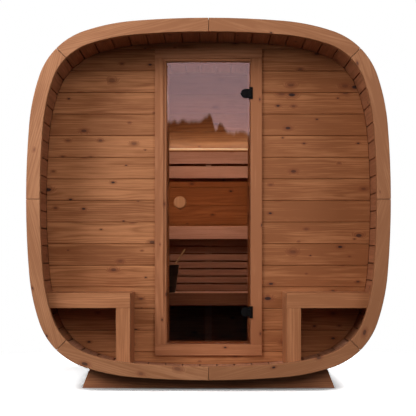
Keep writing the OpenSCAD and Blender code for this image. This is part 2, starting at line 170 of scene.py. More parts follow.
def knots_in(tree, grain, share):
    """Returns the core and the rim of each knot, from 0 to 1, and how dark its core is."""
    to_cells = (1 / KNOT_PATCH[0], 1 / KNOT_PATCH[1], 0.0)
    to_metres = (KNOT_PATCH[0] * KNOT_STRETCH, KNOT_PATCH[1], 0.0)
    cell = add(tree, "VectorMath", {0: grain, 1: to_cells}, operation="MULTIPLY").outputs[0]
    spots = add(tree, "TexVoronoi", {"Vector": cell, "Scale": 1.0, "Randomness": 0.9},
                voronoi_dimensions="2D")
    away = add(tree, "VectorMath", {0: cell, 1: spots.outputs["Position"]}, operation="SUBTRACT").outputs[0]
    away = add(tree, "VectorMath", {0: away, 1: to_metres}, operation="MULTIPLY").outputs[0]
    away = add(tree, "VectorMath", {0: away}, operation="LENGTH").outputs["Value"]
    chance = add(tree, "SeparateColor", {0: spots.outputs["Color"]})
    there = maths(tree, "LESS_THAN", chance.outputs[0], share)
    dark = ramp(tree, chance.outputs[2], 0.25, 0.75, 0.30, 1.0)
    larger = maths(tree, "POWER", chance.outputs[1], 1.6)
    radius = maths(tree, "MULTIPLY_ADD", larger, KNOT_SPREAD, KNOT_SMALLEST)
    ratio = maths(tree, "DIVIDE", away, radius)
    core = maths(tree, "MULTIPLY", ramp(tree, ratio, 1.15, 0.7, smooth=True), there)
    rim = maths(tree, "MULTIPLY", ramp(tree, ratio, 3.0, 0.9, smooth=True), there)
    return core, rim, dark


print("knots ready")

# %% [markdown]
# ### Year rings
# Rings are circles round the heart of the tree, so their distance from it goes through a sine. Slow
# noise pushes them aside and makes them wander, and so does each knot, as the wood grew round it.

# %% Year rings
RING_WIDTH = 0.0085


def rings_in(tree, grain, rim):
    wander = stretched(tree, grain, 0.9, 5.0)
    push = maths(tree, "MULTIPLY_ADD", wander, 0.05, maths(tree, "MULTIPLY", rim, 0.020))
    parts = add(tree, "SeparateXYZ", {0: grain})
    squares = [maths(tree, "POWER", parts.outputs[number], 2.0) for number in (1, 2)]
    far = maths(tree, "SQRT", maths(tree, "ADD", *squares))
    turns = maths(tree, "MULTIPLY", maths(tree, "ADD", far, push), 2 * math.pi / RING_WIDTH)
    ring = maths(tree, "MULTIPLY_ADD", maths(tree, "SINE", turns), 0.5, 0.5)
    return maths(tree, "POWER", ring, 2.2)


print("year rings", RING_WIDTH * 1000, "mm apart")

# %% [markdown]
# ### Colour, gloss and relief
# Streaks, clouds, rings, fibres and the board's own level add up to one tone, which goes from the
# deep colour to the pale one. The knots lie over it. The wood is oiled, so it has a soft gloss, and
# its fibres and rings stand out by a fraction of a millimetre.

# %% Wood
BLACK_KNOT = (0.022, 0.009, 0.009)


def thermo_wood(name, pale, deep, knots=0.5, gloss=0.62):
    """knots: the share of the places for a knot that hold one."""
    material, tree, shader = new_material(name)
    grain = add(tree, "Attribute", attribute_name="grain").outputs["Vector"]
    board = add(tree, "Attribute", attribute_name="board").outputs["Fac"]
    core, rim, dark = knots_in(tree, grain, knots)
    ring = rings_in(tree, grain, rim)
    streak = stretched(tree, grain, 3.2, 62.0, 4.5, 0.66)
    cloud = stretched(tree, grain, 2.2, 10.0, 2.5)
    fibre = stretched(tree, grain, 14.0, 700.0, 2.0)

    tone = maths(tree, "MULTIPLY", cloud, 0.72)
    for part, share in ((streak, 0.95), (ring, -0.22), (fibre, 0.12), (board, 0.125)):
        tone = maths(tree, "MULTIPLY_ADD", part, share, tone)
    colour = blend(tree, ramp(tree, tone, 0.67, 1.16), deep, pale)
    reddish = [channel * kept for channel, kept in zip(deep, (0.62, 0.42, 0.40))]
    colour = blend(tree, maths(tree, "MULTIPLY", rim, 0.55), colour, reddish)
    covered = maths(tree, "MULTIPLY", maths(tree, "MULTIPLY", core, 0.94), dark)
    colour = blend(tree, covered, colour, BLACK_KNOT)
    tree.links.new(colour, shader.inputs["Base Color"])

    shine = maths(tree, "MULTIPLY_ADD", streak, -0.16, gloss + 0.08)
    tree.links.new(shine, shader.inputs["Roughness"])
    shader.inputs["Specular IOR Level"].default_value = 0.32
    relief = maths(tree, "MULTIPLY_ADD", fibre, 0.6, maths(tree, "MULTIPLY", ring, -0.35))
    relief = maths(tree, "MULTIPLY_ADD", core, -0.6, relief)
    bump = add(tree, "Bump", {"Height": relief, "Strength": 0.5, "Distance": 0.0006})
    tree.links.new(bump.outputs[0], shader.inputs["Normal"])
    return material


hoop_wood = thermo_wood("hoop_wood", (0.47, 0.212, 0.100), (0.31, 0.122, 0.051), knots=0.55)
wall_wood = thermo_wood("wall_wood", (0.54, 0.222, 0.091), (0.28, 0.095, 0.032), knots=0.85)
# Painted shade: the room's wood is a darker, redder copy that stands in for the dim light behind the tinted
# glass.
shaded_room_wood = thermo_wood("shaded_room_wood", (0.33, 0.112, 0.038), (0.20, 0.060, 0.018), knots=0.55)
floor_wood = thermo_wood("floor_wood", (0.62, 0.300, 0.178), (0.44, 0.190, 0.105), knots=0.3)
# Painted shade: the screen's wood and the lower rail's are darker copies that stand in for the shade under
# the benches.
shaded_screen_wood = thermo_wood("shaded_screen_wood", (0.34, 0.165, 0.108), (0.25, 0.112, 0.070), knots=0.05)
shaded_rail_wood = thermo_wood("shaded_rail_wood", (0.30, 0.138, 0.084), (0.22, 0.094, 0.054), knots=0.05)
stave_wood = thermo_wood("stave_wood", (0.46, 0.188, 0.092), (0.28, 0.102, 0.046), 0.4, gloss=0.45)
frame_wood = thermo_wood("frame_wood", (0.55, 0.234, 0.110), (0.36, 0.134, 0.055), knots=0.5)
seat_wood = thermo_wood("seat_wood", (0.55, 0.230, 0.103), (0.34, 0.126, 0.049), knots=0.4)
bench_wood = thermo_wood("bench_wood", (0.52, 0.265, 0.185), (0.40, 0.190, 0.125), knots=0.05)
cradle_wood = thermo_wood("cradle_wood", (0.47, 0.188, 0.083), (0.28, 0.096, 0.039), knots=0.3)
print("eleven tones of the same wood")

# %% [markdown]
# ### Painted shade on the floor in the room
# The floor is one row of staves that runs on below the front wall. In the room its colour is
# multiplied by a dark grey, which paints the shade under the benches into the boards. The grey
# comes in under the front wall, where nobody sees the change.

# %% Painted shade on the floor in the room
PORCH_ENDS = -0.34
ROOM_STARTS = -0.30
tree = floor_wood.node_tree
shader = tree.nodes["Principled BSDF"]
depth = add(tree, "SeparateXYZ", {0: add(tree, "TexCoord").outputs["Object"]}).outputs[1]
# Painted shade: in the room the floor's colour is multiplied by a dark grey.
indoor_shade_mask = ramp(tree, depth, PORCH_ENDS, ROOM_STARTS)
porch_colour = shader.inputs["Base Color"].links[0].from_socket
floor_with_painted_shade = blend(tree, indoor_shade_mask, porch_colour, (0.10, 0.09, 0.09), "MULTIPLY")
tree.links.new(floor_with_painted_shade, shader.inputs["Base Color"])
print("the floor turns dark from y", PORCH_ENDS, "to", ROOM_STARTS)

# %% [markdown]
# ## From a plain part to a joiner's part
# A part of the construction model is a set of loose triangles. A copy of it is joined up, and its
# flat faces are made whole, which gives the bare timber. Then its arrises are rounded, since no
# planed board has a knife edge, and the rounding is what catches the light along a joint.

# %% Copy a part and ease its edges
def bare_timber(node):
    bm = bmesh.new()
    bm.from_mesh(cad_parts[node].data)
    bmesh.ops.remove_doubles(bm, verts=bm.verts, dist=0.00002)
    bmesh.ops.dissolve_limit(bm, angle_limit=math.radians(0.4), verts=bm.verts, edges=bm.edges)
    return bm


def sharp_edges(bm, degrees=28):
    limit = math.radians(degrees)
    return [e for e in bm.edges if len(e.link_faces) == 2 and e.calc_face_angle() > limit]


def ease(bm, radius, edges=None, segments=2):
    """Rounds the edges given, or else every sharp edge."""
    bmesh.ops.bevel(bm, geom=edges or sharp_edges(bm), offset=radius, segments=segments, profile=0.5,
                    affect="EDGES", material=-1, clamp_overlap=True)


print("edges can be eased")

# %% [markdown]
# ## Grain for each board
# One mesh may hold a whole row of boards, and each is a set of points that are joined by edges.
# Every board gets its own coordinates, its own place in its own tree and its own tone. These come
# by chance from a fixed seed, so that the same sauna comes out each time.

# %% Boards and their grain
def separate_boards(bm):
    """Yields the points of each loose board in turn."""
    for v in bm.verts:
        v.tag = False
    for start in bm.verts:
        if start.tag:
            continue
        start.tag = True
        board = [start]
        front = [start]
        while front:
            for e in front.pop().link_edges:
                for v in e.verts:
                    if not v.tag:
                        v.tag = True
                        board.append(v)
                        front.append(v)
        yield board


def middle_of(verts):
    """Returns the middle and the size of the box round some points."""
    low = Vector([min(v.co[i] for v in verts) for i in range(3)])
    high = Vector([max(v.co[i] for v in verts) for i in range(3)])
    return (low + high) / 2, high - low


def give_grain(bm, along, face, seed, level_of=None):
    """along: the grain's direction. face: the way the board's wide face looks. Either may be a
    function of the board's middle and size. level_of: how pale a board is, from its middle."""
    chance = random.Random(seed)
    grain = bm.verts.layers.float_vector.new("grain")
    tone = bm.verts.layers.float.new("board")
    for board in separate_boards(bm):
        middle, size = middle_of(board)
        a = (along(middle, size) if callable(along) else along).normalized()
        c = (face(middle, size) if callable(face) else face).normalized()
        b = c.cross(a).normalized()
        shift = chance.uniform(0, 30)
        heart_side = chance.uniform(-0.07, 0.07)
        heart_depth = chance.choice((-1, 1)) * chance.uniform(0.015, 0.10)
        level = chance.gauss(0, 0.42) + (level_of(middle) if level_of else 0)
        for v in board:
            local = v.co - middle
            v[grain] = (v.co.dot(a) + shift, local.dot(b) + heart_side, local.dot(c) + heart_depth)
            v[tone] = level


print("boards can have grain")

# %% [markdown]
# ## Showing a finished piece
# The object stands at the origin and its place is in its mesh, as the construction model's parts
# are. It rides on the body or on the door, and it hides the plain parts it stands for. Weighted
# normals keep the wide faces flat in the light, and only the eased edges look round. Most parts
# need nothing more than eased edges and grain, so one more helper does the whole of it.

# %% Turn a bmesh into a piece
def show(bm, name, material, nodes=(), body="body", smooth=35, flat=False):
    mesh = bpy.data.meshes.new(name)
    bm.to_mesh(mesh)
    bm.free()
    piece = bpy.data.objects.new(name, mesh)
    bpy.context.scene.collection.objects.link(piece)
    mesh.materials.append(material)
    if not flat:
        mesh.shade_smooth()
        mesh.set_sharp_from_angle(angle=math.radians(smooth))
        even = piece.modifiers.new("even_shading", "WEIGHTED_NORMAL")
        even.keep_sharp = True
    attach(piece, body)
    if nodes:
        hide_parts(*nodes)
    print(name, len(mesh.polygons), "faces")
    return piece


def timber(node, material, along, face, radius, seed, level=0.0):
    """A planed part with eased edges and grain, and otherwise as the construction model has it."""
    bm = bare_timber(node)
    ease(bm, radius)
    give_grain(bm, along, face, seed, lambda middle: level)
    return show(bm, node + "_timber", material, [node])


# %% [markdown]
# ## The staves
# Sixty-eight staves make the floor, the walls and the roof in one. They run from hoop to hoop, so
# the grain does too. Each stave tapers a little towards the room and its long edges are chamfered,
# which leaves the deep and narrow dark line between two of them. At the outside they press
# together, or daylight would show through.

# %% Directions round the body
hoop_low, hoop_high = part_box("rear_hoop")
core_z = (hoop_low[2] + hoop_high[2]) / 2
heart_line = Vector((0, 0, core_z))


def outwards(middle, size=None):
    """From the line through the middle of the room to a board."""
    out = middle - heart_line
    out.y = 0
    return out


def wide_way(board):
    """The way the widest face of a stave looks, away from the middle of the room."""
    widest = max((f for v in board for f in v.link_faces), key=lambda f: f.calc_area())
    away = outwards(board[0].co)
    return widest.normal.copy() if widest.normal.dot(away) > 0 else -widest.normal


print("middle of the body at z", round(core_z, 3))

# %% Staves
STAVE_EASE = 0.0024
PRESS = 0.0006


def taper(bm, half_gap):
    """Draws both inner edges of each stave in and presses the outer ones together."""
    bm.normal_update()
    for board in separate_boards(bm):
        middle = middle_of(board)[0]
        out = wide_way(board)
        side = out.cross(DEEP)
        for v in board:
            inner = (v.co - middle).dot(out) < 0
            towards = -1 if (v.co - middle).dot(side) > 0 else 1
            v.co += side * towards * (half_gap if inner else -PRESS)


def lengthwise(e):
    return abs((e.verts[0].co - e.verts[1].co).normalized().y) > 0.9


for count, node in enumerate(("floor_staves", "left_wall_staves", "right_wall_staves", "roof_staves")):
    bm = bare_timber(node)
    taper(bm, STAVE_EASE)
    ease(bm, STAVE_EASE, [e for e in sharp_edges(bm) if lengthwise(e)], 1)
    give_grain(bm, DEEP, outwards, 10 + count)
    wood = floor_wood if node == "floor_staves" else stave_wood
    show(bm, node + "_timber", wood, [node])

# %% [markdown]
# ## The hoops
# Each hoop is sawn from eight pieces that butt together at the middles and the corners. The grain
# runs straight through a piece, from one end to the other, while its outline curves. The long
# edges are rounded and the butt ends are left sharp, so that the joints stay thin.

# %% Edges and joints of a hoop
def long_edges(bm):
    """The edges between a hoop's front or back and its curved inner or outer side."""
    chosen = []
    for e in sharp_edges(bm, 40):
        flat, side = sorted((f.normal for f in e.link_faces), key=lambda n: -abs(n.y))
        out = outwards((e.verts[0].co + e.verts[1].co) / 2).normalized()
        if abs(flat.y) > 0.9 and abs(side.dot(out)) > 0.6:
            chosen.append(e)
    return chosen


def open_joints(bm, half_gap):
    """Moves the outer edge of each butt end back, so that the joint shows as a thin dark line."""
    moves = {}
    for face in bm.faces:
        middle = face.calc_center_median()
        out = outwards(middle).normalized()
        if abs(face.normal.y) < 0.1 and abs(face.normal.dot(out)) < 0.5:
            outer = [v for v in face.verts if (v.co.y - middle.y) * middle.y > 0]
            moves.update({v: face.normal * half_gap for v in outer})
    for v, move in moves.items():
        v.co -= move


print("hoop helpers ready")

# %% Hoops
def chord(middle, size):
    """From one end of a hoop piece to the other."""
    same_side = (middle.x > 0) == (middle.z > core_z)
    return Vector((size.x, 0, -size.z if same_side else size.z))


def painted_light_level(middle):
    """Painted light: the pieces on the left and at the top are paler, and those on the right and low down
    darker, as if light fell from the upper left.
    """
    return -0.55 - math.copysign(0.75, middle.x) + math.copysign(0.5, middle.z - core_z)


HOOPS = ("front_hoop_top", "front_hoop_bottom", "front_hoop_left", "front_hoop_right", "rear_hoop")
for count, node in enumerate(HOOPS):
    bm = bare_timber(node)
    open_joints(bm, 0.0011)
    ease(bm, 0.004, long_edges(bm), 3)
    # each piece's tone carries painted light from the upper left
    give_grain(bm, chord, DEEP, 20 + count, painted_light_level)
    show(bm, node + "_timber", hoop_wood, [node])

# %% [markdown]
# ## Boards for the end walls
# Both walls are tongue-and-groove boards, 132 mm from joint to joint, laid level. The construction
# model has them as solid panels. A copy of the full panel is sliced at each joint with a bisect,
# its cut faces are closed, and each board's edges are chamfered to make the V of the joint. The
# tongue is one more slice, thin and set in the middle of the joint, so that no light comes through.

# %% Slice a panel into boards
BOARD = 0.1315
HALF_JOINT = 0.0008
CHAMFER = 0.0030
TONGUE = (0.005, 0.004)  # half its thickness and half its height
SIDES = {"low": (2, -1), "high": (2, 1), "left": (0, -1), "right": (0, 1),
         "front": (1, -1), "back": (1, 1)}


def cut_at(bm, place, normal):
    """Cuts off what lies beyond a plane and closes the cut."""
    bmesh.ops.bisect_plane(bm, geom=bm.verts[:] + bm.edges[:] + bm.faces[:], dist=1e-6,
                           plane_co=place, plane_no=normal, clear_outer=True)
    bmesh.ops.holes_fill(bm, edges=[e for e in bm.edges if e.is_boundary], sides=0)


def slice_of(node, shift_y=0.0, **limits):
    """A copy of a panel, moved in depth and cut at each limit that is given."""
    bm = bare_timber(node)
    bmesh.ops.translate(bm, verts=bm.verts, vec=(0, shift_y, 0))
    for side, (axis, sign) in SIDES.items():
        if limits.get(side) is not None:
            place = Vector()
            place[axis] = limits[side]
            normal = Vector()
            normal[axis] = sign
            cut_at(bm, place, normal)
    return bm


def collect(target, bm):
    """Moves one bmesh into another."""
    piece = bpy.data.meshes.new("slice")
    bm.to_mesh(piece)
    bm.free()
    target.from_mesh(piece)
    bpy.data.meshes.remove(piece)


print("boards", BOARD * 1000, "mm from joint to joint")

# %% Where the joints are
room_low, room_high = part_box("back_wall")
front_low, front_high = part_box("front_wall_left")
to_front = front_low[1] - room_low[1]
door_left = front_high[0]
door_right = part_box("front_wall_right")[0][0]
sill_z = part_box("front_wall_under_door")[1][2]
head_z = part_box("door_head")[1][2]


def joints_from(first):
    """Heights of the joints, with a first and a last one beyond the panel's ends."""
    places = []
    z = first
    while z < room_high[2] - 0.02:
        if z > room_low[2] + 0.02:
            places.append(z)
        z += BOARD
    return [room_low[2] - 0.1] + places + [room_high[2] + 0.1]


def across(beside_door):
    """The left and right ends of a board, or of two where the doorway parts it."""
    return ((None, door_left), (door_right, None)) if beside_door else ((None, None),)


def tongues(target, places, low_y, high_y, shift_y=0.0, parted=()):
    middle_y = (low_y + high_y) / 2
    for z in places[1:-1]:
        for left, right in across(z in parted):
            collect(target, slice_of("back_wall", shift_y, left=left, right=right,
                                     low=z - TONGUE[1], high=z + TONGUE[1],
                                     front=middle_y - TONGUE[0], back=middle_y + TONGUE[0]))


print("doorway", round(door_right - door_left, 3), "m wide, up to z", round(head_z, 3))

# %% [markdown]
# ## The front wall
# Its joints start at the door's sill. One is moved to the top of the frame, and the boards between
# the two are cut again to leave the doorway. What is left between the doorway and the frame's top is
# a copy of the part over the door. The boards at the right and at the foot of the wall are a little
# darker, which is painted shade, and the top ones paler, which is painted light.

# %% Front wall
# Painted light and shade: darker boards at the right and the foot, paler ones at the top.
def front_painted_light(middle):
    level = 0.4
    if middle.x > 0.3:
        level -= 1.3
    if middle.z > 1.96:
        level += 1.8
    if middle.z < sill_z:
        level -= 1.2
    return level


wall = bmesh.new()
places = [z if abs(z - head_z) > 0.05 else head_z + 0.0005 for z in joints_from(sill_z)]
for low, high in zip(places, places[1:]):
    beside_door = low > sill_z - 0.01 and high < head_z + 0.01
    for left, right in across(beside_door):
        collect(wall, slice_of("back_wall", to_front, left=left, right=right,
                               low=low + HALF_JOINT, high=high - HALF_JOINT))
ease(wall, CHAMFER, segments=1)
tongues(wall, places, front_low[1], front_high[1], to_front,
        [z for z in places if sill_z + 0.01 < z < head_z - 0.01])
collect(wall, slice_of("front_wall_over_door", high=head_z - HALF_JOINT))
give_grain(wall, ACROSS, DEEP, 31, front_painted_light)
show(wall, "front_wall_boards", wall_wood,
     ["front_wall_left", "front_wall_right", "front_wall_over_door", "front_wall_under_door"])

# %% [markdown]
# ## The back wall
# The same boards without a doorway, in a darker, redder copy of the wood, which paints the room's dim,
# tinted light into the boards.

# %% Back wall
wall = bmesh.new()
places = joints_from(0.197)
for low, high in zip(places, places[1:]):
    collect(wall, slice_of("back_wall", low=low + HALF_JOINT, high=high - HALF_JOINT))
ease(wall, CHAMFER, segments=1)
tongues(wall, places, room_low[1], room_high[1])
give_grain(wall, ACROSS, DEEP, 32)
show(wall, "back_wall_boards", shaded_room_wood, ["back_wall"])

# %% [markdown]
# ## The door frame
# Four planed boards, and the copy with rounded arrises is all they need. The grain runs along each
# one: level in the head and the sill, upright in the jambs. Their tones are painted light and shade:
# the head is paler, the sill and the left jamb darker, and the right jamb darkest.

# %% Door frame
# The last number of each board is its level of painted light and shade.
for node, along, seed, level in (("door_head", ACROSS, 41, 1.2), ("door_sill", ACROSS, 42, -0.9),
                                 ("door_jamb_left", UP, 43, -0.3), ("door_jamb_right", UP, 44, -2.0)):
    timber(node, frame_wood, along, DEEP, 0.0016, seed, level)

# %% [markdown]
# ## The porch seats
# Each seat is a row of boards on supports, closed by a rail in front and a post at the door's side.
# People brush past their edges, so these are rounded more than the frame's.

# %% Porch seats
for count, side in enumerate(("left", "right")):
    timber(side + "_seat_boards", seat_wood, ACROSS, UP, 0.003, 50 + count)
    timber(side + "_seat_rail", seat_wood, ACROSS, DEEP, 0.0025, 52 + count)
    # The posts' levels are painted shade: both are darker, the left one most.
    timber(side + "_seat_post", seat_wood, UP, DEEP, 0.002, 54 + count, -1.0 + 0.8 * count)
    timber(side + "_seat_supports", seat_wood, UP, ACROSS, 0.002, 56 + count)

# %% [markdown]
# ## Benches, screen and backrest
# The benches and the backrest are of a paler, knot-free wood that stays cool, as people sit on them
# bare. The slatted screen, the lower rail and the hidden supports and bearers get darker copies of
# the wood, which paint the shade under the benches. A slat is thin, so its edges are rounded less.

# %% Benches, screen and backrest
for count, (node, wood, along, face, radius) in enumerate((
        ("upper_bench_boards", bench_wood, ACROSS, UP, 0.0025),
        ("upper_bench_rail", bench_wood, ACROSS, DEEP, 0.0025),
        ("upper_bench_bearers", shaded_screen_wood, DEEP, ACROSS, 0.0025),
        ("lower_bench_boards", bench_wood, ACROSS, UP, 0.0025),
        ("lower_bench_rail", shaded_rail_wood, ACROSS, DEEP, 0.0025),
        ("lower_bench_supports", shaded_screen_wood, UP, ACROSS, 0.0025),
        ("bench_screen", shaded_screen_wood, ACROSS, DEEP, 0.0012),
        ("backrest", bench_wood, ACROSS, DEEP, 0.0025))):
    timber(node, wood, along, face, radius, 60 + count)

# %% [markdown]
# ## The cradles
# Two planks on edge carry the barrel. Each is sawn to the curve of the staves above it.

# %% Cradles
for count, node in enumerate(("front_cradle", "rear_cradle")):
    timber(node, cradle_wood, ACROSS, DEEP, 0.002, 71 + count)

# %% [markdown]
# ## Tinted glass
# The door is one sheet of bronze-tinted safety glass. Glass that bends light keeps lamps out in a
# path tracer, because a shadow ray stops at it, and the room behind would be black. So a shadow ray
# passes through a plain tinted window instead, while everything seen goes through real glass.

# %% Glass
bronze_glass, tree, shader = new_material("bronze_glass")
shader.inputs["Base Color"].default_value = (0.86, 0.70, 0.58, 1)
shader.inputs["Roughness"].default_value = 0.0
shader.inputs["IOR"].default_value = 1.5
shader.inputs["Transmission Weight"].default_value = 1.0
window = add(tree, "BsdfTransparent", {"Color": (0.11, 0.085, 0.065, 1)})
ray = add(tree, "LightPath")
choice = add(tree, "MixShader", {0: ray.outputs["Is Shadow Ray"], 1: shader.outputs[0],
                                 2: window.outputs[0]})
tree.links.new(choice.outputs[0], tree.nodes["Material Output"].inputs["Surface"])
bm = bare_timber("door_glass")
ease(bm, 0.001)
show(bm, "door_glass_sheet", bronze_glass, ["door_glass"], "door", flat=True)

# %% [markdown]
# ## Black hinges
# Steel under a satin black powder coat. The coat is never quite flat, so fine noise breaks up the
# highlight. The clamps turn with the glass, and the leaves stay on the frame.

# %% Hinges
hinge_black, tree, shader = new_material("hinge_black")
place = add(tree, "TexCoord").outputs["Object"]
speckle = add(tree, "TexNoise", {"Vector": place, "Scale": 900.0, "Detail": 2.0}).outputs["Fac"]
shader.inputs["Base Color"].default_value = (0.0035, 0.0033, 0.0033, 1)
shader.inputs["Specular IOR Level"].default_value = 0.12
tree.links.new(maths(tree, "MULTIPLY_ADD", speckle, 0.2, 0.42), shader.inputs["Roughness"])
bump = add(tree, "Bump", {"Height": speckle, "Strength": 0.15, "Distance": 0.0003})
tree.links.new(bump.outputs[0], shader.inputs["Normal"])
for node, body in (("hinge_clamps", "door"), ("hinge_leaves", "body")):
    bm = bare_timber(node)
    ease(bm, 0.0008, sharp_edges(bm, 50))
    show(bm, node + "_steel", hinge_black, [node], body)

# %% [markdown]
# ## Turned knobs
# A knob is turned on a lathe, and Spin does the same: half of the outline goes once round the axis.
# Rounding the outline's corners first is easier than rounding the finished solid.

# %% Turn an outline round an axis
def turned(profile, axis_place, axis, corner, steps=48, segments=3):
    """profile: distance along the axis and radius of each corner of the outline."""
    bm = bmesh.new()
    side = axis.orthogonal().normalized()
    corners = [bm.verts.new(axis_place + axis * along + side * max(radius, 1e-5))
               for along, radius in profile]
    for first, second in zip(corners, corners[1:]):
        bm.edges.new((first, second))
    bmesh.ops.bevel(bm, geom=corners[1:-1], offset=corner, segments=segments, profile=0.5,
                    affect="VERTICES", material=-1, clamp_overlap=True)
    bmesh.ops.spin(bm, geom=bm.verts[:] + bm.edges[:], cent=axis_place, axis=axis,
                   angle=2 * math.pi, steps=steps, use_merge=True, dvec=(0, 0, 0))
    bmesh.ops.remove_doubles(bm, verts=bm.verts, dist=0.0001)
    bmesh.ops.recalc_face_normals(bm, faces=bm.faces)
    return bm


print("lathe ready")

# %% Knobs
knob_wood = thermo_wood("knob_wood", (0.38, 0.142, 0.050), (0.30, 0.104, 0.034), knots=0.0, gloss=0.5)
for node, sign, seed in (("door_knob_outside", -1, 81), ("door_knob_inside", 1, 82)):
    low, high = (Vector(corner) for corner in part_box(node))
    depth = high.y - low.y
    radius = (high.x - low.x) / 2
    base = Vector(((low.x + high.x) / 2, high.y if sign < 0 else low.y, (low.z + high.z) / 2))
    outline = [(0, 0), (0, 0.015), (0.010, 0.0135), (depth - 0.024, radius - 0.004),
               (depth - 0.008, radius), (depth, radius - 0.007), (depth, 0)]
    bm = turned(outline, base, DEEP * sign, 0.0035)
    give_grain(bm, UP, DEEP, seed)
    show(bm, node + "_turned", knob_wood, [node], "door", 50)

# %% [markdown]
# ## The light behind the backrest
# A strip of warm light along the top of the backrest washes the wall above it. Its diffuser glows,
# a little stronger where each light source sits behind it.

# %% Light strip
warm_strip, tree, shader = new_material("warm_strip")
place = add(tree, "TexCoord").outputs["Object"]
dots = add(tree, "TexWave", {"Vector": place, "Scale": 10.0}, bands_direction="X").outputs["Fac"]
shader.inputs["Base Color"].default_value = (0.45, 0.32, 0.20, 1)
shader.inputs["Emission Color"].default_value = (1.0, 0.56, 0.29, 1)
tree.links.new(maths(tree, "MULTIPLY_ADD", dots, 0.05, 0.42), shader.inputs["Emission Strength"])
bm = bare_timber("light_strip")
ease(bm, 0.002)
show(bm, "light_strip_diffuser", warm_strip, ["light_strip"])

# %% [markdown]
# ## The bucket
# A tapered tub with a rolled rim and two bands, turned in one go. The outline goes up the outside,
# over the rim and down the inside to the bottom. It is nearly black, with scuffs.

# %% Bucket
BAND_HEIGHT = 0.016
BAND_PROUD = 0.0018
bucket_dark, tree, shader = new_material("bucket_dark")
place = add(tree, "TexCoord").outputs["Object"]
scuffs = add(tree, "TexNoise", {"Vector": place, "Scale": 60.0, "Detail": 5.0}).outputs["Fac"]
scuffed = blend(tree, scuffs, (0.006, 0.005, 0.005), (0.020, 0.016, 0.013))
tree.links.new(scuffed, shader.inputs["Base Color"])
tree.links.new(maths(tree, "MULTIPLY_ADD", scuffs, 0.3, 0.35), shader.inputs["Roughness"])
low, high = (Vector(corner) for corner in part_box("water_bucket"))
foot = Vector(((low.x + high.x) / 2, (low.y + high.y) / 2, low.z))
tall = high.z - low.z
foot_radius = 0.091
rim_radius = (high.x - low.x) / 2


def side_of_tub(z, out=0.0):
    return (z, foot_radius + (rim_radius - 0.002 - foot_radius) * z / tall + out)


outline = [(0.004, 0), (0.004, foot_radius - 0.008), (0, foot_radius - 0.006), (0, foot_radius)]
for band in (0.028, 0.122):
    top = band + BAND_HEIGHT
    outline += [side_of_tub(band), side_of_tub(band, BAND_PROUD)]
    outline += [side_of_tub(top, BAND_PROUD), side_of_tub(top)]
outline += [side_of_tub(tall - 0.010), side_of_tub(tall - 0.009, 0.002), side_of_tub(tall, 0.002)]
outline += [(tall, rim_radius - 0.007), (0.008, foot_radius - 0.006)]
outline += [(0.006, foot_radius - 0.012), (0.006, 0)]
bm = turned(outline, foot, UP, 0.0008, 64, 2)
show(bm, "water_bucket_tub", bucket_dark, ["water_bucket"])

# %% [markdown]
# ## The ladle
# A turned cup stands on the bottom of the bucket. A handle leans out of it over the rim, thins
# towards its end and has a small swelling there to grip.

# %% Ladle
ladle_wood = thermo_wood("ladle_wood", (0.40, 0.230, 0.115), (0.28, 0.150, 0.072), knots=0.0, gloss=0.5)
root = foot + Vector((-0.0065, -0.0175, 0.036))
tip = foot + Vector((0.150, 0.103, 0.277))
lean = tip - root
reach = lean.length
cup = root - Vector((lean.x, lean.y, 0)).normalized() * 0.033
cup.z = low.z + 0.0063
ladle = turned([(0, 0), (0, 0.030), (0.005, 0.034), (0.034, 0.034), (0.034, 0.0315),
                (0.006, 0.0312), (0.0025, 0.028), (0.0025, 0)], cup, UP, 0.001, 40, 2)
handle = turned([(0, 0), (0, 0.0060), (reach * 0.5, 0.0052), (reach * 0.86, 0.0048),
                 (reach - 0.012, 0.0068), (reach, 0.0050), (reach, 0)],
                root, lean.normalized(), 0.002, 20, 2)
collect(ladle, handle)
give_grain(ladle, lean, DEEP, 91)
show(ladle, "ladle_turned", ladle_wood, ["ladle"], smooth=50)

# %% [markdown]
# ## Steel bands
# Two thin stainless bands pull the staves together. Their brushed lines run round the body, so the
# noise is fine across the band and long in the other two directions.

# %% Bands
band_steel, tree, shader = new_material("band_steel")
place = add(tree, "TexCoord").outputs["Object"]
brushed = add(tree, "Mapping", {"Vector": place, "Scale": (6, 900, 6)}).outputs[0]
lines = add(tree, "TexNoise", {"Vector": brushed, "Scale": 1.0, "Detail": 3.0}).outputs["Fac"]
shader.inputs["Base Color"].default_value = (0.56, 0.56, 0.55, 1)
shader.inputs["Metallic"].default_value = 1.0
tree.links.new(maths(tree, "MULTIPLY_ADD", lines, 0.25, 0.25), shader.inputs["Roughness"])
show(bare_timber("tension_bands"), "tension_bands_steel", band_steel, ["tension_bands"])

# %% [markdown]
# ## The floor of the studio
# It looks white to the camera and still keeps the sauna's shadow, which ambient occlusion deepens
# in the corners. Other rays meet a darker floor, so that it throws little light up at the wood and
# none into the glass. Far from the sauna it is plain white, and melts into the sky.

# %% Floor
SHADOW_REACH = 0.17
WHITE_FROM = 1.3
WHITE_BY = 2.2
floor_bm = bmesh.new()
bmesh.ops.create_grid(floor_bm, x_segments=1, y_segments=1, size=40)
floor_mesh = bpy.data.meshes.new("studio_floor")
floor_bm.to_mesh(floor_mesh)
floor_bm.free()
floor = bpy.data.objects.new("studio_floor", floor_mesh)
bpy.context.scene.collection.objects.link(floor)
material, tree, shader = new_material("studio_floor")
ray = add(tree, "LightPath")
corner = add(tree, "AmbientOcclusion", {"Distance": SHADOW_REACH}, samples=8).outputs["AO"]
pale = blend(tree, ramp(tree, corner, 0.5, 1.0, 0.22, 1.0), (0.0, 0.0, 0.0), (3.0, 3.0, 3.0))
mirrors = maths(tree, "MAXIMUM", ray.outputs["Is Glossy Ray"], ray.outputs["Is Transmission Ray"])
unseen = blend(tree, mirrors, (0.10, 0.10, 0.10), (0.015, 0.015, 0.015))
